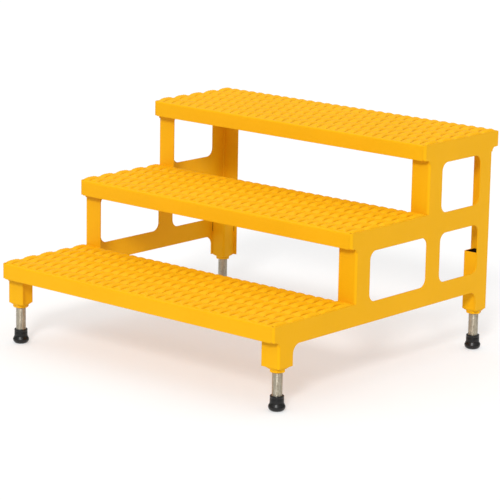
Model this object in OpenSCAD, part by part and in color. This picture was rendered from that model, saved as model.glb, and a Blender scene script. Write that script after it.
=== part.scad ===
// Three-tread mounting block: a welded sheet-steel stand on four screw-adjusted feet.
// Millimetres, +Z up. The origin is on the floor under the middle of the stand. The front
// (lowest tread) faces -Y and the treads run along X.

/* [Overall] */
// Outer width over the two side panels
width = 914; // [600:1:1200]
// Horizontal distance from one tread nose to the next
going = 281; // [270:1:320]
// Vertical distance from one tread to the next
rise = 178; // [170:1:230]
// Height of the lowest tread above the floor, with the feet as drawn
first_tread_z = 214; // [210:1:240]
// Depth of the top tread, nose to rear edge
top_tread_depth = 312; // [305:1:330]
// Depth of the two lower treads
plank_depth = 298; // [280:1:300]

/* [Sheet metal] */
// Thickness of the panels, planks and socket plates
sheet = 3; // [2:0.5:4]
// Outside radius of the vertical bends in the panels
bend_r = 6; // [5:0.5:8]
// Height of a tread's turned-down front and rear edges
fascia_h = 40; // [35:1:50]
// Outside radius of the bend between a tread and its front edge
plank_bend_r = 5; // [4:0.5:6]
// Distance of each upright's front face behind the tread nose above it
nose_setback = 20; // [10:1:30]
// Overhang of the top tread behind the rear upright
rear_overhang = 27; // [20:1:40]
// Inward width of the upright flanges, over the bend
flange_w = 54; // [48:1:65]
// Inward width of the lips that wrap each tread nose, over the bend
lip_w = 10; // [8:0.5:14]

/* [Side panel outline] */
// Height of the bottom of the four corner legs
leg_z = 108; // [100:1:120]
// Width of the front leg in the side view
front_leg_w = 51; // [48:1:60]
// Width of the rear upright in the side view
rear_leg_w = 49; // [48:1:60]
// Lower edge of the bottom rail
rail_z0 = 160; // [150:1:165]
// Upper edge of the bottom rail, which is the sill of the lower windows
rail_z1 = 210; // [200:1:215]
// Top edge of the two lower windows
lower_window_z1 = 337; // [300:1:340]
// Sill of the upper window
upper_window_z0 = 389; // [380:1:400]
// Top edge of the upper window
upper_window_z1 = 517; // [480:1:520]
// Width of the uprights behind the middle and top risers
upright_w = 54; // [50:1:70]
// Corner radius of the windows
window_r = 22; // [10:1:30]
// Fillet between the bottom rail and the legs
rail_fillet = 24; // [10:1:35]
// Fillet between the underside of a tread's nose and the upright behind it
nose_fillet = 9; // [6:1:14]
// Fillet between the underside of the top tread's overhang and the rear upright
overhang_fillet = 11; // [6:1:12]
// Corner radius of a panel's outline at the end of the top tread's overhang
overhang_r = 8; // [5:0.5:8]

/* [Tread pattern] */
// Distance between openings along a tread
strut_pitch = 29.8; // [25:0.1:35]
// Number of rows of openings across a tread
rows = 5; // [3:1:6]
// Height of the raised struts above the sheet
strut_h = 6; // [3:0.5:7]
// Width of an opening
opening_w = 19; // [12:1:22]
// Length of an opening, front to back
opening_l = 46; // [30:1:50]

/* [Corner sockets] */
// Outside size of the square socket in each corner
socket_w = 46; // [46:1:48]
// Height of the front sockets' inner plates
front_socket_h = 66; // [50:1:66]
// Height of the rear sockets' inner plates
rear_socket_h = 152; // [100:1:160]
// Width of the slits beside the upper part of a rear plate
slit_w = 2; // [1:0.5:4]
// Length of the welded part of a rear plate, below its slits
slit_z = 66; // [50:1:100]

/* [Screw feet] */
// Outside diameter of the threaded rods, 1 inch
rod_d = 25.4; // [19:0.1:25.4]
// Length of the rods
rod_l = 150; // [140:1:152]
// Width of the weld nuts across the flats, 1-3/8 inch hexagonal bar
nut_af = 34.9; // [30:0.1:34.9]
// Height of the weld nuts
nut_h = 19; // [15:1:22]
// Turn of a nut's corners away from the treads' direction
nut_turn = 8; // [0:1:52]
// How far the nuts stand out below the legs
nut_drop = 12; // [6:1:14]
// Radial running clearance of the rods
running_gap = 0.05; // [0.02:0.01:0.1]

/* [Rubber tips] */
// Height of a tip
tip_h = 38; // [34:1:42]
// Largest diameter, just above the floor
tip_base_d = 41.5; // [38:0.5:42]
// Rounding of a tip's foot
tip_foot_r = 11; // [6:0.5:12]
// Diameter of the tip's neck
tip_neck_d = 34; // [32:1:35]
// Thickness of rubber under the steel washer
tip_floor = 6; // [5:0.5:8]
// Thickness of the washer in the bottom of a tip
washer_t = 2; // [1.5:0.5:3]

/* [Hidden] */
$fn = 96;

half_w = width / 2;
depth = 2 * going + top_tread_depth;
front = -depth / 2;                       // nose of the lowest tread
rear_face = depth / 2 - rear_overhang;    // back of the rear uprights
front_face = front + nose_setback;        // front of the front legs
socket_c = socket_w / 2;                  // socket centre, in from both outside faces
foot_x = half_w - socket_c;
foot_front_y = front_face + socket_c;
foot_rear_y = rear_face - socket_c;
rod_z0 = tip_floor + washer_t;
paint = "gold";
eps = 0.01;

function tread_z(i) = first_tread_z + i * rise;
function nose_y(i) = front + i * going;

// ---- side panels ----------------------------------------------------------------------

// Rectangle from one corner to the other
module rect(a, b) {
    translate(a) square([b[0] - a[0], b[1] - a[1]]);
}

// Rectangle with round corners of radius r
module round_rect(a, b, r) {
    rect([a[0] + r, a[1]], [b[0] - r, b[1]]);
    rect([a[0], a[1] + r], [b[0], b[1] - r]);
    for (x = [a[0] + r, b[0] - r], y = [a[1] + r, b[1] - r]) {
        translate([x, y]) circle(r);
    }
}

// Fillet that fills the inside corner at p; sx and sy point to the corner's open side
module fillet(p, sx, sy, r) {
    difference() {
        translate([p[0] + min(0, sx * r), p[1] + min(0, sy * r)]) square([r, r]);
        translate([p[0] + sx * r, p[1] + sy * r]) circle(r);
    }
}

// Flat part of a panel in the side view: x is depth, y is height. The edges that carry a
// bend stop one bend radius short of the outside face.
module panel_outline() {
    rear_end = depth / 2 - bend_r;
    difference() {
        union() {
            // one block behind each riser, and the band of each tread nose in front of it
            for (i = [0 : 2]) {
                rect([nose_y(i) + nose_setback + bend_r, rail_z0],
                     [rear_face - bend_r, tread_z(i)]);
                rect([nose_y(i) + bend_r, tread_z(i) - fascia_h],
                     [nose_y(i) + nose_setback + 2 * bend_r, tread_z(i)]);
            }
            // rear end of the top tread's band
            rect([rear_face - 2 * bend_r, tread_z(2) - fascia_h], [rear_end, tread_z(2)]);
            // legs
            rect([front_face + bend_r, leg_z], [front_face + front_leg_w, rail_z0 + 1]);
            rect([rear_face - rear_leg_w, leg_z], [rear_face - bend_r, rail_z0 + 1]);
            fillet([front_face + front_leg_w, rail_z0], 1, -1, rail_fillet);
            fillet([rear_face - rear_leg_w, rail_z0], -1, -1, rail_fillet);
            // fillets under each nose, and under the rear overhang of the top tread
            for (i = [0 : 2]) {
                fillet([nose_y(i) + nose_setback, tread_z(i) - fascia_h], -1, -1, nose_fillet);
                rect([nose_y(i) + nose_setback, tread_z(i) - fascia_h - nose_fillet],
                     [nose_y(i) + nose_setback + 2 * bend_r, tread_z(i) - fascia_h]);
            }
            fillet([rear_face, tread_z(2) - fascia_h], 1, -1, overhang_fillet);
            rect([rear_face - 2 * bend_r, tread_z(2) - fascia_h - overhang_fillet],
                 [rear_face, tread_z(2) - fascia_h]);
            // small fillets where an upright rises from the tread below
            for (i = [1 : 2]) {
                fillet([nose_y(i) + nose_setback + bend_r, tread_z(i - 1)], -1, 1, bend_r);
            }
        }
        windows();
    }
}

// The three windows of a panel
module windows() {
    mid_y0 = nose_y(1) + nose_setback + upright_w;
    mid_y1 = nose_y(2) + nose_setback;
    rear_y0 = mid_y1 + upright_w;
    rear_y1 = rear_face - rear_leg_w;
    round_rect([mid_y0, rail_z1], [mid_y1, lower_window_z1], window_r);
    round_rect([rear_y0, rail_z1], [rear_y1, lower_window_z1], window_r);
    round_rect([rear_y0, upper_window_z0], [rear_y1, upper_window_z1], window_r);
}

// Flange bent inward along an upright edge of the right-hand panel. Its outside face is at
// depth y; back is 1 where the sheet lies behind that face, -1 where it lies in front.
module flange(y, z0, z1, w, back) {
    translate([half_w - bend_r, y + back * bend_r, z0]) linear_extrude(z1 - z0) {
        intersection() {
            difference() {
                circle(bend_r);
                circle(bend_r - sheet);
            }
            translate([0, back > 0 ? -bend_r : 0]) square(bend_r);
        }
        translate([bend_r - w, back > 0 ? -bend_r : bend_r - sheet])
            square([w - bend_r, sheet]);
    }
}

// Cuts that round the corners of a lip at depth y, which wraps a tread's edge with its top at
// height z, to radius r; back is 1 on a nose and -1 on the rear edge
module lip_rounding(y, z, back, r) {
    translate([half_w - lip_w - 1, 0, 0]) rotate([90, 0, 90]) linear_extrude(lip_w + 2) {
        fillet([y, z], back, -1, r);
        fillet([y, z - fascia_h], back, 1, r);
    }
}

// Right-hand panel; the left one is its mirror image
module side_panel() {
    color(paint) difference() {
        folded_panel();
        for (i = [0 : 2]) lip_rounding(nose_y(i), tread_z(i), 1, plank_bend_r);
        lip_rounding(depth / 2, tread_z(2), -1, overhang_r);
    }
}

// Right-hand panel with square corners on its lips
module folded_panel() {
    translate([half_w - sheet, 0, 0]) rotate([90, 0, 90]) linear_extrude(sheet) panel_outline();
    for (i = [0 : 2]) {
        foot_z = i == 0 ? leg_z : tread_z(i - 1) - fascia_h;
        flange(nose_y(i) + nose_setback, foot_z, tread_z(i) - fascia_h, flange_w, 1);
        flange(nose_y(i), tread_z(i) - fascia_h, tread_z(i), lip_w, 1);
    }
    flange(rear_face, leg_z, tread_z(2) - fascia_h, flange_w, -1);
    flange(depth / 2, tread_z(2) - fascia_h, tread_z(2), lip_w, -1);
}

module side_panel_right() side_panel();
module side_panel_left() mirror([1, 0, 0]) side_panel();

// ---- treads ---------------------------------------------------------------------------

// Height of the raised struts at depth fraction t of one row of openings: a long plateau
// with steep ends
function hump(t) = strut_h * (1 - pow(abs(2 * t - 1), 4));

// Quarter bend of radius r about c, from angle a0 on, turning clockwise
function bend(c, r, a0) = [for (k = [0 : 6]) c + r * [cos(a0 - 15 * k), sin(a0 - 15 * k)]];

// Cross-section of a channel-shaped plank of depth d: x is depth from the nose, y is height
// over the sheet's top face
module plank_section(d) {
    steps = 8;
    row = d / rows;
    r = plank_bend_r;
    top = [for (i = [0 : rows - 1], k = [0 : steps - 1])
        let (t = k / steps, x = (i + t) * row) if (x > r && x < d - r) [x, hump(t)]];
    inside = concat(
        bend([r, -r], r - sheet, 180), [for (p = top) p - [0, sheet]],
        bend([d - r, -r], r - sheet, 90));
    polygon(concat(
        [[0, -fascia_h]], bend([r, -r], r, 180), top,
        bend([d - r, -r], r, 90), [[d, -fascia_h], [d - sheet, -fascia_h]],
        [for (k = [len(inside) - 1 : -1 : 0]) inside[k]], [[sheet, -fascia_h]]));
}

// Eye-shaped openings of a plank of depth d, in plan
module openings(d) {
    row = d / rows;
    count = floor((width - 2 * lip_w) / strut_pitch + eps);
    side = [for (t = [-1 : 0.5 : 0.5]) [opening_w / 2 * (1 - t * t), t * opening_l / 2]];
    for (i = [0 : count - 1], j = [0 : rows - 1]) {
        translate([(i - (count - 1) / 2) * strut_pitch, (j + 0.5) * row])
            polygon(concat(side, -side));
    }
}

// Tread i, counted from the bottom, of depth d
module tread(i, d) {
    color(paint) translate([0, nose_y(i), tread_z(i)]) difference() {
        translate([-half_w + sheet, 0, 0]) rotate([90, 0, 90])
            linear_extrude(width - 2 * sheet) plank_section(d);
        translate([0, 0, -2 * sheet]) linear_extrude(2 * sheet + strut_h + 1) openings(d);
        // the ends of both turned-down edges make room for the panels' lips
        for (s = [-1, 1], y = [0, d]) {
            translate([s * (half_w - lip_w / 2), y, -fascia_h / 2])
                cube([lip_w, 2 * bend_r, fascia_h + 4 * strut_h], center = true);
        }
    }
}

module tread_lower() tread(0, plank_depth);
module tread_middle() tread(1, plank_depth);
module tread_upper() tread(2, top_tread_depth);

// ---- corner sockets, nuts, screw feet --------------------------------------------------

// Places a corner's parts: sx is the side, rear is 1 at the back. The child is drawn as the
// front-right corner, with the socket's centre at the origin.
module corner(sx, rear) {
    translate([sx * foot_x, rear == 1 ? foot_rear_y : foot_front_y, 0])
        mirror([sx < 0 ? 1 : 0, 0, 0]) mirror([0, rear, 0]) children();
}

// L-shaped plate that closes a corner of a panel into a square socket
module socket_plate(h, slits) {
    outer = socket_w / 2;
    inner = outer - sheet;
    color(paint) translate([0, 0, leg_z]) difference() {
        linear_extrude(h) {
            rect([-outer + bend_r, inner], [inner, outer]);
            rect([-outer, -inner], [-outer + sheet, outer - bend_r]);
            intersection() {
                translate([-outer + bend_r, outer - bend_r]) difference() {
                    circle(bend_r);
                    circle(bend_r - sheet);
                }
                rect([-outer, outer - bend_r], [-outer + bend_r, outer]);
            }
        }
        if (slits) {
            translate([inner - slit_w, inner - 1, slit_z]) cube([slit_w + 1, sheet + 2, h]);
            translate([-outer - 1, -inner - 1, slit_z]) cube([sheet + 2, slit_w + 1, h]);
        }
    }
}

module weld_nut() {
    face_r = nut_af / 2 + 0.8;             // the lower end is chamfered to this radius
    color(paint) translate([0, 0, leg_z - nut_drop]) rotate(nut_turn) difference() {
        intersection() {
            cylinder(d = nut_af / cos(30), h = nut_h, $fn = 6);
            cylinder(r1 = face_r, r2 = face_r + nut_h, h = nut_h);
        }
        translate([0, 0, -1]) cylinder(r = rod_d / 2 + running_gap, h = nut_h + 2);
    }
}

module threaded_rod() {
    chamfer = 1.5;
    r = rod_d / 2;
    color("darkkhaki") rotate_extrude() polygon([
        [0, rod_z0], [r - chamfer, rod_z0], [r, rod_z0 + chamfer],
        [r, rod_z0 + rod_l - chamfer], [r - chamfer, rod_z0 + rod_l], [0, rod_z0 + rod_l]]);
}

// Cross-section of a rubber tip: a rounded foot, a concave flare and a straight neck
module tip_section() {
    base_r = tip_base_d / 2;
    neck_r = tip_neck_d / 2;
    flare = base_r - neck_r;
    difference() {
        union() {
            rect([0, 0], [base_r - tip_foot_r, 2 * tip_foot_r]);
            translate([base_r - tip_foot_r, tip_foot_r]) intersection() {
                circle(tip_foot_r);
                rect([0, -tip_foot_r], [tip_foot_r, tip_foot_r]);
            }
            rect([0, tip_foot_r], [neck_r, tip_h - 1]);
            rect([0, tip_h - 2], [neck_r - 1, tip_h]);
            translate([neck_r - 1, tip_h - 1]) circle(1, $fn = 24);
            difference() {
                rect([0, tip_foot_r + 2], [neck_r + flare / 2, tip_foot_r + 2 + 2 * flare]);
                translate([neck_r + flare, tip_foot_r + 2 + 2 * flare]) circle(flare);
                rect([neck_r, tip_foot_r + 2 + flare], [neck_r + flare, tip_foot_r + 3 + 2 * flare]);
            }
        }
        rect([-1, tip_floor], [rod_d / 2 + 1.5, rod_z0]);
        rect([-1, rod_z0 - eps], [rod_d / 2 + running_gap, tip_h + 1]);
        rect([-base_r, -1], [0, tip_h + 1]);
    }
}

module rubber_tip() color("dimgray") rotate_extrude() tip_section();

module tip_washer() {
    color("silver") translate([0, 0, tip_floor]) difference() {
        cylinder(d = rod_d + 2, h = washer_t);
        translate([0, 0, -1]) cylinder(d = 8, h = washer_t + 2);
    }
}

module socket_plate_front_left() corner(-1, 0) socket_plate(front_socket_h, false);
module socket_plate_front_right() corner(1, 0) socket_plate(front_socket_h, false);
module socket_plate_rear_left() corner(-1, 1) socket_plate(rear_socket_h, true);
module socket_plate_rear_right() corner(1, 1) socket_plate(rear_socket_h, true);
module weld_nut_front_left() corner(-1, 0) weld_nut();
module weld_nut_front_right() corner(1, 0) weld_nut();
module weld_nut_rear_left() corner(-1, 1) weld_nut();
module weld_nut_rear_right() corner(1, 1) weld_nut();
module threaded_rod_front_left() corner(-1, 0) threaded_rod();
module threaded_rod_front_right() corner(1, 0) threaded_rod();
module threaded_rod_rear_left() corner(-1, 1) threaded_rod();
module threaded_rod_rear_right() corner(1, 1) threaded_rod();
module rubber_tip_front_left() corner(-1, 0) rubber_tip();
module rubber_tip_front_right() corner(1, 0) rubber_tip();
module rubber_tip_rear_left() corner(-1, 1) rubber_tip();
module rubber_tip_rear_right() corner(1, 1) rubber_tip();
module tip_washer_front_left() corner(-1, 0) tip_washer();
module tip_washer_front_right() corner(1, 0) tip_washer();
module tip_washer_rear_left() corner(-1, 1) tip_washer();
module tip_washer_rear_right() corner(1, 1) tip_washer();

side_panel_left();
side_panel_right();
tread_lower();
tread_middle();
tread_upper();
socket_plate_front_left();
socket_plate_front_right();
socket_plate_rear_left();
socket_plate_rear_right();
weld_nut_front_left();
weld_nut_front_right();
weld_nut_rear_left();
weld_nut_rear_right();
threaded_rod_front_left();
threaded_rod_front_right();
threaded_rod_rear_left();
threaded_rod_rear_right();
rubber_tip_front_left();
rubber_tip_front_right();
rubber_tip_rear_left();
rubber_tip_rear_right();
tip_washer_front_left();
tip_washer_front_right();
tip_washer_rear_left();
tip_washer_rear_right();
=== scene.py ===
"""Three-tread mounting block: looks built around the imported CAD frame. Metres, +Z up.

The side panels, socket plates, nuts and washers are the CAD pieces with a finish of their own.
The serrated treads, threaded rods, rubber tips and weld beads are modelled here in full detail.
"""

import math

import bpy
from mathutils import Matrix, Vector, noise


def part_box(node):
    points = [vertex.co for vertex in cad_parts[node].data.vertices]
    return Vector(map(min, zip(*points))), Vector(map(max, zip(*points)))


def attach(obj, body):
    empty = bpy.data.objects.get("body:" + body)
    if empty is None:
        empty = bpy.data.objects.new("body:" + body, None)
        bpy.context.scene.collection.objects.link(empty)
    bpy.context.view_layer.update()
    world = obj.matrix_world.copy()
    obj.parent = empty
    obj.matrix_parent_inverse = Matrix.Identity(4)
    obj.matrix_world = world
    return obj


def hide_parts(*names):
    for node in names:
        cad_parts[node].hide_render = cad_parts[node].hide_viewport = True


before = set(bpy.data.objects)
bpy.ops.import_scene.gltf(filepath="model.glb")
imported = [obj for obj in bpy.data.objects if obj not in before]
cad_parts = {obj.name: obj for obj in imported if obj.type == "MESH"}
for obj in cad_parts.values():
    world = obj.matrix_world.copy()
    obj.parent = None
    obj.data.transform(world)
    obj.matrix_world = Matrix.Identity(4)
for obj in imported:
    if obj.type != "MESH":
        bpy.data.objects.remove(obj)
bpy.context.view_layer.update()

MM = 0.001

# ---- dimensions of the CAD model, in metres ----------------------------------------------
SHEET = 3 * MM
FASCIA = 40 * MM                # height of the treads' turned-down edges
LIP = 10 * MM                   # width of the panel lips that wrap the tread noses
STRUT_PITCH = 29.8 * MM
ROWS = 5
CAD_STRUT_H = 6 * MM            # height of the CAD model's plain struts over the turned edges
NUT_TURN = math.radians(8)      # turn of the nuts' corners, mirrored with the corner
THREAD_PITCH = 25.4 / 8 * MM    # 1-8 thread

# ---- dimensions of the visual model's own details ----------------------------------------
PLANK_BEND = 5 * MM             # outside radius between a tread and its turned-down edge
PLANK_SHEET = 2.6 * MM          # thickness of the formed treads
ROW_PITCH = 59.6 * MM           # the five rows are centred on every tread at this pitch
ROW_STEPS = 26                  # lines of vertices in a row
STRUT_H = 7 * MM                # height of the struts' crests over the plank's turned edges
STRUT_SHARE = 0.47              # half the length of a strut's raised part, as a share of a row
STRUT_FLATNESS = 3.6            # the higher, the flatter a strut's top and the steeper its ends
TEETH = 7                       # teeth along a strut
TOOTH = 0.1                     # depth of a tooth, as a share of the strut's height
VALLEY = 1.2 * MM               # how far the sheet between the rows lies below the turned edges
VALLEY_RAMP = 6 * MM            # distance over which it falls from an edge to that depth
EYE_W = 8.8 * MM                # gap between the folded flanks of two struts
EYE_SHARE = 0.386               # half the length of an opening, as a share of a row
CROWN = 5.6 * MM                # how far a strut's rounded top falls towards its edges
FOLD = 0.8                      # steepness of the folded flanks beside an opening
TUCK = 0.342                    # how far a flank turns in under the strut, per depth of the fold
# Half cross-section of a strut, from its crest outwards: place across the half width, share
# of the crown's fall, share of the flank's height
HALF_SECTION = ((0, 0, 0), (0.35, 0.12, 0), (0.65, 0.42, 0), (0.88, 0.77, 0), (0.965, 0.95, 0.01),
                (0.995, 1, 0.07), (1, 1, 0.2), (1, 1, 0.55), (1, 1, 1))
THREAD_DEPTH = 1.9 * MM
ROD_CHAMFER = 1.8 * MM
TIP_NECK = 17 * MM              # radius of a rubber tip's neck
TIP_FOOT = 11 * MM              # rounding of a rubber tip's foot
TIP_FLARE = 10 * MM             # height of the concave stretch between foot and neck
TIP_FLOOR = 6 * MM              # thickness of a rubber tip's base, under its washer
SEAM_H = 62 * MM                # length of the welds beside a socket plate
NUT_WELD_H = 5.2 * MM           # how far the weld at a socket's bottom reaches down its nut
SKIN = 0.5 * MM                 # painted shade starts this far under a rear socket's outer faces
CLEAR_OF_BEND = 4.5 * MM        # and here past its bent corner, as the two depths added up

# ---- studio light ------------------------------------------------------------------------
SKY_HORIZON = 0.08
SKY_ZENITH = 1.39
SKY_CURVE = 1.4                 # how late the sky brightens from the horizon up
KEY_FROM = (0.42, -0.715, 0.551)
KEY_STRENGTH = 1.7
KEY_SPREAD = 12                 # degrees

CORNERS = ("front_left", "front_right", "rear_left", "rear_right")


# ---- camera ------------------------------------------------------------------------------
def make_camera():
    """A long lens, 41 degrees round to the right and 13 degrees up, with a slight roll."""
    azimuth, elevation, roll = (math.radians(a) for a in (40.854, 12.949, 1.016))
    target = Vector((0.0111, -0.0112, 0.2564))
    distance = 6.1726
    back = Vector((math.sin(azimuth) * math.cos(elevation),
                   -math.cos(azimuth) * math.cos(elevation),
                   math.sin(elevation)))
    level = Vector((math.cos(azimuth), math.sin(azimuth), 0))
    upright = back.cross(level)
    right = math.cos(roll) * level + math.sin(roll) * upright
    up = math.cos(roll) * upright - math.sin(roll) * level
    camera = bpy.data.objects.new("camera", bpy.data.cameras.new("camera"))
    camera.data.lens = 173.7
    camera.data.sensor_width = 36
    camera.matrix_world = Matrix.Translation(target + back * distance) @ Matrix(
        (right, up, back)).transposed().to_4x4()
    bpy.context.collection.objects.link(camera)
    bpy.context.scene.camera = camera


# ---- materials ---------------------------------------------------------------------------
class Nodes:
    """A material's node tree, with short calls that add a node and link it."""

    def __init__(self, name):
        self.material = bpy.data.materials.new(name)
        self.material.use_nodes = True
        self.tree = self.material.node_tree
        self.shader = self.tree.nodes["Principled BSDF"]
        self.place = self.tree.nodes.new("ShaderNodeTexCoord").outputs["Object"]

    def add(self, kind, inputs=(), **settings):
        node = self.tree.nodes.new(kind)
        for key, value in settings.items():
            setattr(node, key, value)
        for key, value in dict(inputs).items():
            self.put(node.inputs[key], value)
        return node

    def put(self, socket, value):
        if isinstance(value, bpy.types.NodeSocket):
            self.tree.links.new(value, socket)
        else:
            socket.default_value = value

    def noise(self, scale, detail, roughness=0.5, stretch=(1, 1, 1)):
        """Noise with `scale` features per metre; stretch scales it along each axis."""
        mapping = self.add("ShaderNodeMapping", {"Vector": self.place, "Scale": stretch})
        return self.add("ShaderNodeTexNoise", {
            "Vector": mapping.outputs["Vector"], "Scale": scale, "Detail": detail,
            "Roughness": roughness}).outputs["Fac"]

    def cells(self, scale):
        """Flat cells of random colours, `scale` of them per metre."""
        return self.add("ShaderNodeTexVoronoi", {
            "Vector": self.place, "Scale": scale}).outputs["Color"]

    def remap(self, value, low, high, to_low, to_high):
        return self.add("ShaderNodeMapRange", {
            "Value": value, "From Min": low, "From Max": high,
            "To Min": to_low, "To Max": to_high}).outputs["Result"]

    def mix(self, factor, a, b):
        node = self.add("ShaderNodeMix", data_type="RGBA")
        self.put(node.inputs["Factor"], factor)
        self.put(node.inputs["A"], a)
        self.put(node.inputs["B"], b)
        return node.outputs["Result"]

    def maths(self, operation, *values):
        return self.add("ShaderNodeMath", enumerate(values), operation=operation).outputs["Value"]

    def between(self, value, low, high):
        """1 where the value lies from low to high, and 0 elsewhere."""
        return self.maths("COMPARE", value, (low + high) / 2, (high - low) / 2)

    def bump(self, height, distance, strength, normal=None):
        """Relief of a height map, on top of another normal if one is given."""
        node = self.add("ShaderNodeBump", {
            "Height": height, "Distance": distance, "Strength": strength})
        if normal is not None:
            self.put(node.inputs["Normal"], normal)
        return node.outputs["Normal"]

    def finish(self, **inputs):
        """Sets the shader's inputs and returns the material."""
        for key, value in inputs.items():
            self.put(self.shader.inputs[key.replace("_", " ")], value)
        return self.material


def inside_rear_sockets(n):
    """1 on the faces inside the two rear sockets, where shade is painted, and 0 on every other
    face.
    """
    low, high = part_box("socket_plate_rear_right")
    place = n.add("ShaderNodeSeparateXYZ", {"Vector": n.place})
    side = n.maths("ABSOLUTE", place.outputs["X"])
    across = n.between(side, low.x + SKIN, high.x + SKIN)
    along = n.between(place.outputs["Y"], low.y + SKIN, high.y + SKIN)
    height = n.between(place.outputs["Z"], low.z + SKIN, high.z - SKIN)
    reach = n.maths("ADD", side, place.outputs["Y"])
    past_bend = n.between(reach, low.x + low.y + CLEAR_OF_BEND, high.x + high.y + 2 * SKIN)
    inside = n.maths("MULTIPLY", across, along)
    inside = n.maths("MULTIPLY", inside, height)
    return n.maths("MULTIPLY", inside, past_bend)


def powder_coat():
    """Gloss safety yellow over steel: orange peel, faint colour drift and soft edges.

    Inside the rear sockets the colour is near black: painted shade for the dark inside of the
    closed tubes.
    """
    n = Nodes("yellow_powder_coat")
    yellow, pale_yellow = (0.85, 0.425, 0.006, 1), (0.88, 0.44, 0.007, 1)
    # the second colour on the next line is near black: painted shade for the inside of the rear
    # sockets
    orange, painted_socket_shade = (0.78, 0.33, 0.005, 1), (0.022, 0.010, 0.008, 1)
    drift = n.remap(n.noise(5, 2), 0.35, 0.65, 0, 1)
    colour = n.mix(drift, yellow, pale_yellow)
    specks = n.remap(n.noise(900, 2), 0.62, 0.75, 0, 0.25)
    colour = n.mix(specks, colour, orange)
    # painted shade: the faces inside the rear sockets are coloured near black
    colour = n.mix(inside_rear_sockets(n), colour, painted_socket_shade)
    rough = n.remap(n.noise(40, 4), 0.3, 0.7, 0.36, 0.48)
    soft_edges = n.add("ShaderNodeBevel", {"Radius": 1.2 * MM}, samples=4)
    peel = n.bump(n.noise(420, 2.5), 0.1 * MM, 0.55, soft_edges.outputs["Normal"])
    waves = n.bump(n.noise(35, 2), 0.35 * MM, 0.35, peel)
    return n.finish(Base_Color=colour, Roughness=rough, Normal=waves,
                    IOR=1.3, Specular_IOR_Level=0.22, Specular_Tint=(1, 0.84, 0.35, 1))


def galvanised_steel():
    """Dull zinc on a threaded rod: spangle, streaks along the rod and a warm tint."""
    n = Nodes("galvanised_steel")
    dull, bright, grime = (0.44, 0.40, 0.315, 1), (0.84, 0.79, 0.67, 1), (0.17, 0.135, 0.085, 1)
    spangle = n.mix(0.35, n.noise(260, 3), n.cells(420))
    colour = n.mix(spangle, dull, bright)
    streaks = n.remap(n.noise(55, 4, 0.6, (6, 6, 1)), 0.45, 0.75, 0, 0.6)
    colour = n.mix(streaks, colour, grime)
    rough = n.remap(n.noise(300, 3), 0.3, 0.7, 0.30, 0.48)
    rough_cast = n.bump(n.noise(1500, 3), 0.05 * MM, 0.6)
    return n.finish(Base_Color=colour, Roughness=rough, Metallic=0.85, Normal=rough_cast)


def black_rubber():
    """Moulded rubber with a fine grain and a trace of dust."""
    n = Nodes("black_rubber")
    black, grey = (0.0070, 0.0066, 0.0064, 1), (0.028, 0.026, 0.023, 1)
    dust = n.remap(n.noise(120, 5, 0.65), 0.55, 0.8, 0, 0.25)
    colour = n.mix(dust, black, grey)
    rough = n.remap(n.noise(200, 3), 0.3, 0.7, 0.28, 0.42)
    grain = n.bump(n.noise(2200, 3), 0.05 * MM, 0.5)
    dents = n.bump(n.noise(160, 2), 0.2 * MM, 0.25, grain)
    return n.finish(Base_Color=colour, Roughness=rough, Normal=dents,
                    Specular_IOR_Level=0.38)


def zinc_plate():
    """Bright zinc on the washers inside the tips."""
    n = Nodes("zinc_plate")
    dark, light = (0.46, 0.46, 0.44, 1), (0.62, 0.62, 0.60, 1)
    colour = n.mix(n.noise(180, 3), dark, light)
    rough = n.remap(n.noise(400, 3), 0.3, 0.7, 0.25, 0.42)
    scratches = n.bump(n.noise(900, 2, 0.5, (1, 12, 1)), 0.03 * MM, 0.6)
    return n.finish(Base_Color=colour, Roughness=rough, Metallic=0.9, Normal=scratches)


def floor_paint():
    """Matt grey that also glows a little, so that the floor looks white and shadows stay pale."""
    n = Nodes("floor")
    dark, light = (0.49, 0.49, 0.49, 1), (0.51, 0.51, 0.51, 1)
    colour = n.mix(n.noise(1.5, 2), dark, light)
    return n.finish(Base_Color=colour, Roughness=0.9, Emission_Color=(1, 1, 1, 1),
                    Emission_Strength=0.46)


# ---- mesh helpers ------------------------------------------------------------------------
def make_piece(name, vertices, faces, material, body, smooth, merge=0.0):
    """A mesh object that rides on a body. merge welds vertices closer than that."""
    mesh = bpy.data.meshes.new(name)
    mesh.from_pydata(vertices, [], faces)
    piece = bpy.data.objects.new(name, mesh)
    bpy.context.collection.objects.link(piece)
    if merge:
        weld = piece.modifiers.new("weld", "WELD")
        weld.merge_threshold = merge
        apply_modifiers(piece)
    piece.data.materials.append(material)
    shade(piece, smooth)
    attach(piece, body)
    return piece


def shade(piece, degrees):
    """Smooth shading, with edges sharper than an angle left hard."""
    mesh = piece.data
    mesh.shade_smooth()
    mesh.set_sharp_from_angle(angle=math.radians(degrees))


def apply_modifiers(piece):
    """Replaces a piece's mesh with its modified one and drops the modifiers."""
    graph = bpy.context.evaluated_depsgraph_get()
    graph.update()
    made = bpy.data.meshes.new_from_object(piece.evaluated_get(graph))
    piece.modifiers.clear()
    old, piece.data = piece.data, made
    made.name = old.name
    bpy.data.meshes.remove(old)


def grid_faces(rows, columns, wrap=False, start=0):
    """Quads of a grid of vertices stored row by row; wrap joins the last column to the first."""
    span = columns if wrap else columns - 1
    return [(start + r * columns + c,
             start + r * columns + (c + 1) % columns,
             start + (r + 1) * columns + (c + 1) % columns,
             start + (r + 1) * columns + c)
            for r in range(rows - 1) for c in range(span)]


def tube_faces(rings, sides):
    """Faces of a tube of vertices stored ring by ring, closed at both ends."""
    last = (rings - 1) * sides
    faces = grid_faces(rings, sides, wrap=True)
    faces.append(tuple(reversed(range(sides))))
    faces.append(tuple(range(last, last + sides)))
    return faces


def ring_faces(rings, sides):
    """Faces of a tube of vertices stored ring by ring, bent round so that its ends meet."""
    last = (rings - 1) * sides
    closing = [(last + k, last + (k + 1) % sides, (k + 1) % sides, k) for k in range(sides)]
    return grid_faces(rings, sides, wrap=True) + closing


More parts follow.
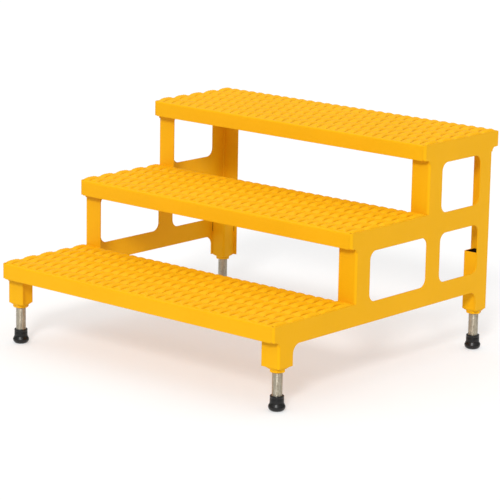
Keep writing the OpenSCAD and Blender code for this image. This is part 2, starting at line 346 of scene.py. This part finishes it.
def lathe(profile, centre, segments, relief):
    """Vertices of a profile of (radius, height) turned round an upright axis. relief gives
    what is added to the radius at an angle and a height."""
    vertices = []
    for radius, height in profile:
        for k in range(segments):
            angle = 2 * math.pi * k / segments
            r = radius + relief(angle, height)
            vertices.append((centre[0] + r * math.cos(angle),
                             centre[1] + r * math.sin(angle), height))
    return vertices


# ---- serrated treads ---------------------------------------------------------------------
def eye_half_width(t):
    """Half the width of an opening, at a place t from -1 to 1 along its length."""
    return 0 if abs(t) >= 1 else EYE_W / 2 * (1 - t * t)


def crest(along):
    """Height of a strut's crest over the valleys, at a fraction 0 to 1 of a row: a plateau
    with steep ends and small teeth."""
    place = abs(along - 0.5) / STRUT_SHARE
    arch = max(0, 1 - place ** STRUT_FLATNESS)
    teeth = 0.5 - 0.5 * math.cos(2 * math.pi * TEETH * along)
    return (STRUT_H + VALLEY) * arch * (1 - TOOTH + TOOTH * teeth)


def plank_lines(depth):
    """Lines across a plank from front to back as (y, z, row place or None), y from the nose."""
    start = (depth - ROWS * ROW_PITCH) / 2
    arc = [(PLANK_BEND * (1 - math.cos(a)), PLANK_BEND * (math.sin(a) - 1))
           for a in (math.radians(15 * k) for k in range(6))]
    drop = [(0, -FASCIA), (0, -FASCIA * 0.7), (0, -FASCIA * 0.35)]
    lines = [(y, z, None) for y, z in drop + arc]
    lines.append((PLANK_BEND, 0, None))
    for row in range(ROWS):
        for k in range(ROW_STEPS + (row == ROWS - 1)):
            y = start + (row + k / ROW_STEPS) * ROW_PITCH
            if PLANK_BEND * 1.05 < y < depth - PLANK_BEND * 1.05:
                lines.append((y, 0, k / ROW_STEPS))
    lines.append((depth - PLANK_BEND, 0, None))
    lines += [(depth - y, z, None) for y, z in reversed(drop + arc)]
    return lines


def strut_section(y, place, depth):
    """A strut's half width, the height of its crest, the dip of the valleys beside it and the
    depth of its folded flanks, on one of a plank's lines."""
    half = STRUT_PITCH / 2
    if place is None:
        return half, 0, 0, 0
    half -= eye_half_width((place - 0.5) / EYE_SHARE)
    from_edge = min(y, depth - y) - PLANK_BEND
    dip = VALLEY * min(1, from_edge / VALLEY_RAMP)
    fold = FOLD * math.sqrt((STRUT_PITCH / 2) ** 2 - half ** 2)
    return half, crest(place), dip, fold


def tread(node, material):
    """A formed plank: eye-shaped openings between arched, toothed struts."""
    low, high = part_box(node)
    depth = high.y - low.y
    top = high.z - CAD_STRUT_H
    lines = plank_lines(depth)
    count = round((high.x - low.x - 2 * (LIP - SHEET)) / STRUT_PITCH) + 1
    sides = [(-1, part) for part in reversed(HALF_SECTION[1:])]
    sides += [(1, part) for part in HALF_SECTION]
    vertices, faces = [], []
    for s in range(count):
        middle = (s - (count - 1) / 2) * STRUT_PITCH
        first = len(vertices)
        for y, z, place in lines:
            half, rise, dip, fold = strut_section(y, place, depth)
            fall = CROWN * rise / (STRUT_H + VALLEY)
            for side, (out, crown, flank) in sides:
                if (s, side) in ((0, -1), (count - 1, 1)):      # runs into the side panel
                    x = middle + side * (high.x - abs(middle)) * out
                    lift = (rise - dip) * math.cos(out * math.pi / 2)
                else:
                    x = middle + side * (half * out - TUCK * fold * flank ** 1.5)
                    lift = rise - dip - fall * crown - (rise - fall + fold) * flank
                vertices.append((x, low.y + y, top + z + lift))
        faces += grid_faces(len(lines), len(sides), start=first)
    faces = between_lips(vertices, faces, low, high)
    piece = make_piece(f"{node}_plank", vertices, faces, material, "frame",
                       smooth=30, merge=0.02 * MM)
    thicken = piece.modifiers.new("thickness", "SOLIDIFY")
    thicken.thickness = PLANK_SHEET
    thicken.offset = -1
    apply_modifiers(piece)
    shade(piece, 38)
    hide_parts(node)


def between_lips(vertices, faces, low, high):
    """A plank's faces without the flattened ones, and without the turned-down edges' ends,
    where the side panels' lips are."""
    lip_x = high.x - (LIP - SHEET) - 0.5 * MM
    kept = []
    for face in faces:
        points = [Vector(vertices[i]) for i in face]
        centre = sum(points, Vector()) / len(points)
        at_edge = min(centre.y - low.y, high.y - centre.y) < PLANK_BEND
        flat = max(p.x for p in points) - min(p.x for p in points) < 1e-6
        if not flat and not (at_edge and abs(centre.x) > lip_x):
            kept.append(face)
    return kept


# ---- screw feet --------------------------------------------------------------------------
def thread_radius(outer, turn):
    """Radius at a number of turns along the thread: flat crests a third of a pitch wide,
    and sloping flanks."""
    from_crest = abs(turn % 1 - 0.5)
    tooth = min(1, max(0, 1.9 - 5.2 * from_crest))
    return outer - THREAD_DEPTH * (1 - tooth)


def threaded_rod(corner, material):
    """A rod with a helical thread and chamfered ends."""
    node = f"threaded_rod_{corner}"
    low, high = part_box(node)
    centre = (low + high) / 2
    outer = (high.x - low.x) / 2
    segments, per_pitch = 30, 8
    rings = int((high.z - low.z) / THREAD_PITCH * per_pitch)
    vertices = []
    for i in range(rings + 1):
        z = low.z + (high.z - low.z) * i / rings
        chamfer = outer - max(0, ROD_CHAMFER - min(z - low.z, high.z - z))
        for k in range(segments):
            angle = 2 * math.pi * k / segments
            turn = (z - low.z) / THREAD_PITCH - k / segments
            r = min(chamfer, thread_radius(outer, turn))
            vertices.append((centre.x + r * math.cos(angle), centre.y + r * math.sin(angle), z))
    rod = make_piece(f"rod_{corner}", vertices, tube_faces(rings + 1, segments), material,
                     f"{corner}_rod", smooth=50)
    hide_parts(node)


def arc(radius, first, last, count):
    """Offsets (x, z) from an arc's centre, at count + 1 even steps between two angles."""
    angles = [math.radians(first + (last - first) * k / count) for k in range(count + 1)]
    return [(radius * math.cos(a), radius * math.sin(a)) for a in angles]


def tip_profile(low, high, rod_r):
    """Outline of a rubber tip as (radius, height), from the middle of the base outwards, up
    the outside, over the rim and down the inside."""
    base = (high.x - low.x) / 2
    step = 0.9 * MM                                      # depth of the rings under the foot
    points = [(0.2 * MM, step)]
    for r in (2.5 * MM, 4.9 * MM, 7.3 * MM):
        points += [(r, step), (r + 0.4 * MM, 0), (r + 1.7 * MM, 0), (r + 2.1 * MM, step)]
    points += [(base - TIP_FOOT + x, TIP_FOOT + z) for x, z in arc(TIP_FOOT, -90, 0, 12)]
    for t in (k / 10 for k in range(1, 11)):             # the concave flare
        points.append((TIP_NECK + (base - TIP_NECK) * (1 - t) ** 2.2 * (1 + 1.2 * t),
                       TIP_FOOT + 0.8 * MM + TIP_FLARE * t))
    band, groove = high.z - 6 * MM, TIP_NECK - 0.35 * MM
    points += [(TIP_NECK, band - 1.2 * MM), (groove, band - 0.4 * MM),
               (groove, band + 0.4 * MM), (TIP_NECK, band + 1.2 * MM)]
    rim = 1.5 * MM
    points += [(TIP_NECK - rim + x, high.z - rim + z) for x, z in arc(rim, 0, 90, 6)]
    mouth, lead_in = rod_r + 0.15 * MM, 0.8 * MM
    seat = rod_r + 1.4 * MM                              # the pocket that holds the washer
    shelf = TIP_FLOOR + 2 * MM
    points += [(mouth + lead_in, high.z), (mouth, high.z - lead_in), (mouth, shelf),
               (seat, shelf), (seat, TIP_FLOOR), (0.2 * MM, TIP_FLOOR)]
    return points


def rubber_tip(corner, material):
    """A moulded tip with a parting line on two opposite sides of its neck."""
    node = f"rubber_tip_{corner}"
    low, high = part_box(node)
    rod_low, rod_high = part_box(f"threaded_rod_{corner}")
    segments = 72

    def parting_line(angle, height):
        near = abs(math.sin(angle - 0.6)) < 0.04 and 12 * MM < height < high.z - 2 * MM
        return 0.25 * MM if near else 0

    profile = tip_profile(low, high, (rod_high.x - rod_low.x) / 2)
    vertices = lathe(profile, (low + high) / 2, segments, parting_line)
    tip = make_piece(f"tip_{corner}", vertices, tube_faces(len(profile), segments), material,
                     f"{corner}_tip", smooth=40)
    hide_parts(node)


# ---- welds -------------------------------------------------------------------------------
def weld_bead(name, ends, radius, material, seed):
    """A rippled bead from one point to another: a tube whose radius swells every 3.4 mm."""
    sides = 8
    path = straight(*ends)
    along = (path[-1] - path[0]).normalized()
    side = along.cross(Vector((0.31, 0.17, 0.93)) if abs(along.z) < 0.9
                       else Vector((1, 0, 0))).normalized()
    up = side.cross(along)
    vertices = []
    for i, point in enumerate(path):
        travelled = (point - path[0]).length
        ripple = 0.10 * math.sin(travelled / (3.4 * MM) * 2 * math.pi)
        lump = 0.35 * noise.noise(point * 110 + Vector((seed, 0, 0)))
        taper = 0.35 if i in (0, len(path) - 1) else 1
        r = radius * taper * (1 + ripple + lump)
        for k in range(sides):
            a = 2 * math.pi * k / sides
            vertices.append(point + side * (r * math.cos(a)) + up * (r * math.sin(a)))
    make_piece(name, vertices, tube_faces(len(path), sides), material, "frame",
               smooth=60)


def straight(a, b):
    """Points about a millimetre apart on a straight line."""
    a, b = Vector(a), Vector(b)
    count = max(2, int((b - a).length / MM))
    return [a.lerp(b, i / count) for i in range(count + 1)]


def nut_weld_section(nut_r, edge_r, drop):
    """Cross-section of the weld under a socket, as (radius, height over the socket's bottom)."""
    return ((nut_r - 1.5 * MM, 1.5 * MM),
            (nut_r - 1.0 * MM, -drop),
            (nut_r + 0.8 * MM, -0.97 * drop),
            ((nut_r + edge_r) / 2 + 0.6 * MM, -0.66 * drop),
            (edge_r, -0.5 * MM),
            (edge_r - 0.8 * MM, 1.5 * MM))


def nut_weld(corner, material):
    """The rippled fillet that fills the gap between a nut and the bottom of its socket. Its
    inner edge follows the hexagon, and its outer edge a square with rounded corners."""
    low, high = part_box(f"weld_nut_{corner}")
    plate_low, plate_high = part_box(f"socket_plate_{corner}")
    centre = (low + high) / 2
    socket = max(plate_high.x - centre.x, centre.x - plate_low.x)
    flat = (high.x - low.x) / 2 * math.cos(math.pi / 6) / math.cos(NUT_TURN)
    turn = NUT_TURN if corner in ("front_right", "rear_left") else -NUT_TURN
    steps = 144
    vertices = []
    for k in range(steps):
        a = 2 * math.pi * k / steps
        nut_r = flat / math.cos((a - turn + math.pi / 6) % (math.pi / 3) - math.pi / 6)
        square = (abs(math.cos(a)) ** 8 + abs(math.sin(a)) ** 8) ** -0.125
        edge_r = (socket - 0.9 * MM) * square
        spot = Vector((math.cos(a), math.sin(a), 0)) * 3 + centre * 40
        wave = 0.25 * math.sin(a * 36) + 0.8 * noise.noise(spot)
        section = nut_weld_section(nut_r, edge_r, NUT_WELD_H + wave * MM)
        vertices += [(centre.x + r * math.cos(a), centre.y + r * math.sin(a), plate_low.z + z)
                     for r, z in section]
    make_piece(f"nut_weld_{corner}", vertices, ring_faces(steps, len(section)), material, "frame",
               smooth=60)


def socket_welds(corner, material):
    """Upright beads along the two edges where a socket plate meets the panel."""
    low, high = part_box(f"socket_plate_{corner}")
    centre = sum(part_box(f"weld_nut_{corner}"), Vector()) / 2
    half = max(high.x - centre.x, centre.x - low.x)
    side = 1 if centre.x > 0 else -1
    inward = 1 if centre.y < 0 else -1
    gap = 0.7 * MM
    wall = (centre.x + side * (half - SHEET - gap), centre.y + inward * (half + gap))
    flange = (centre.x - side * (half + gap), centre.y - inward * (half - SHEET - gap))
    for place, (x, y) in (("wall", wall), ("flange", flange)):
        ends = ((x, y, low.z + 3 * MM), (x, y, low.z + SEAM_H))
        weld_bead(f"socket_weld_{corner}_{place}", ends, 1.8 * MM, material, seed=x)


def tread_welds(level, material):
    """Short upright beads behind a tread's turned-down edges, at both side panels."""
    low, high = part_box(f"tread_{level}")
    top = high.z - CAD_STRUT_H
    for side, x, inward in (("left", low.x, 1), ("right", high.x, -1)):
        for end, y, away in (("front", low.y + SHEET, 1), ("rear", high.y - SHEET, -1)):
            spot = (x + inward * 0.8 * MM, y + away * 0.8 * MM)
            ends = ((*spot, top - FASCIA + 4 * MM), (*spot, top - 12 * MM))
            weld_bead(f"tread_weld_{level}_{side}_{end}", ends, 2 * MM, material, seed=y)


def flange_welds(level, material):
    """Beads that join a tread's rear edge to the flanges rising behind it."""
    low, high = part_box(f"tread_{level}")
    flange_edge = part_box("side_panel_right")[0].x
    y, z = high.y + 0.9 * MM, high.z - CAD_STRUT_H - 1.2 * MM
    for side, sign in (("left", -1), ("right", 1)):
        ends = ((sign * (flange_edge + 1 * MM), y, z), (sign * (high.x - 1 * MM), y, z))
        weld_bead(f"flange_weld_{level}_{side}", ends, 2.6 * MM, material, seed=z)


# ---- stage -------------------------------------------------------------------------------
def make_floor(material):
    """A plain level square, 60 m across."""
    reach = 30
    mesh = bpy.data.meshes.new("floor")
    mesh.from_pydata([(-reach, -reach, 0), (reach, -reach, 0), (reach, reach, 0),
                      (-reach, reach, 0)], [], [(0, 1, 2, 3)])
    floor = bpy.data.objects.new("floor", mesh)
    floor.data.materials.append(material)
    bpy.context.collection.objects.link(floor)


def make_sky():
    """A white studio, whose light grows from the horizon up."""
    world = bpy.data.worlds.new("studio")
    world.use_nodes = True
    tree = world.node_tree
    sky = tree.nodes["Background"]
    sky.inputs["Color"].default_value = (1, 1, 1, 1)
    place = tree.nodes.new("ShaderNodeTexCoord")
    axes = tree.nodes.new("ShaderNodeSeparateXYZ")
    curve = tree.nodes.new("ShaderNodeMath")
    curve.operation = "POWER"
    curve.use_clamp = True
    curve.inputs[1].default_value = SKY_CURVE
    level = tree.nodes.new("ShaderNodeMapRange")
    level.inputs["To Min"].default_value = SKY_HORIZON
    level.inputs["To Max"].default_value = SKY_ZENITH
    tree.links.new(place.outputs["Generated"], axes.inputs["Vector"])
    tree.links.new(axes.outputs["Z"], curve.inputs[0])
    tree.links.new(curve.outputs["Value"], level.inputs["Value"])
    tree.links.new(level.outputs["Result"], sky.inputs["Strength"])
    bpy.context.scene.world = world
    bpy.context.scene.view_settings.view_transform = "Standard"


def sun(name, towards, strength, spread):
    """A soft distant light, given the direction that it comes from and its spread in degrees."""
    light = bpy.data.lights.new(name, "SUN")
    light.energy = strength
    light.angle = math.radians(spread)
    holder = bpy.data.objects.new(name, light)
    holder.rotation_mode = "QUATERNION"
    holder.rotation_quaternion = Vector(towards).to_track_quat("Z", "Y")
    bpy.context.collection.objects.link(holder)


# ---- build -------------------------------------------------------------------------------
make_camera()
make_sky()
sun("key_light", KEY_FROM, KEY_STRENGTH, KEY_SPREAD)
make_floor(floor_paint())

paint = powder_coat()
zinc = galvanised_steel()
rubber = black_rubber()
washer_zinc = zinc_plate()

for name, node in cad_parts.items():
    finish = washer_zinc if name.startswith("tip_washer") else paint
    node.data.materials.clear()
    node.data.materials.append(finish)

for level in ("lower", "middle", "upper"):
    tread(f"tread_{level}", paint)
    tread_welds(level, paint)
for level in ("lower", "middle"):
    flange_welds(level, paint)
for corner in CORNERS:
    threaded_rod(corner, zinc)
    rubber_tip(corner, rubber)
    nut_weld(corner, paint)
    socket_welds(corner, paint)
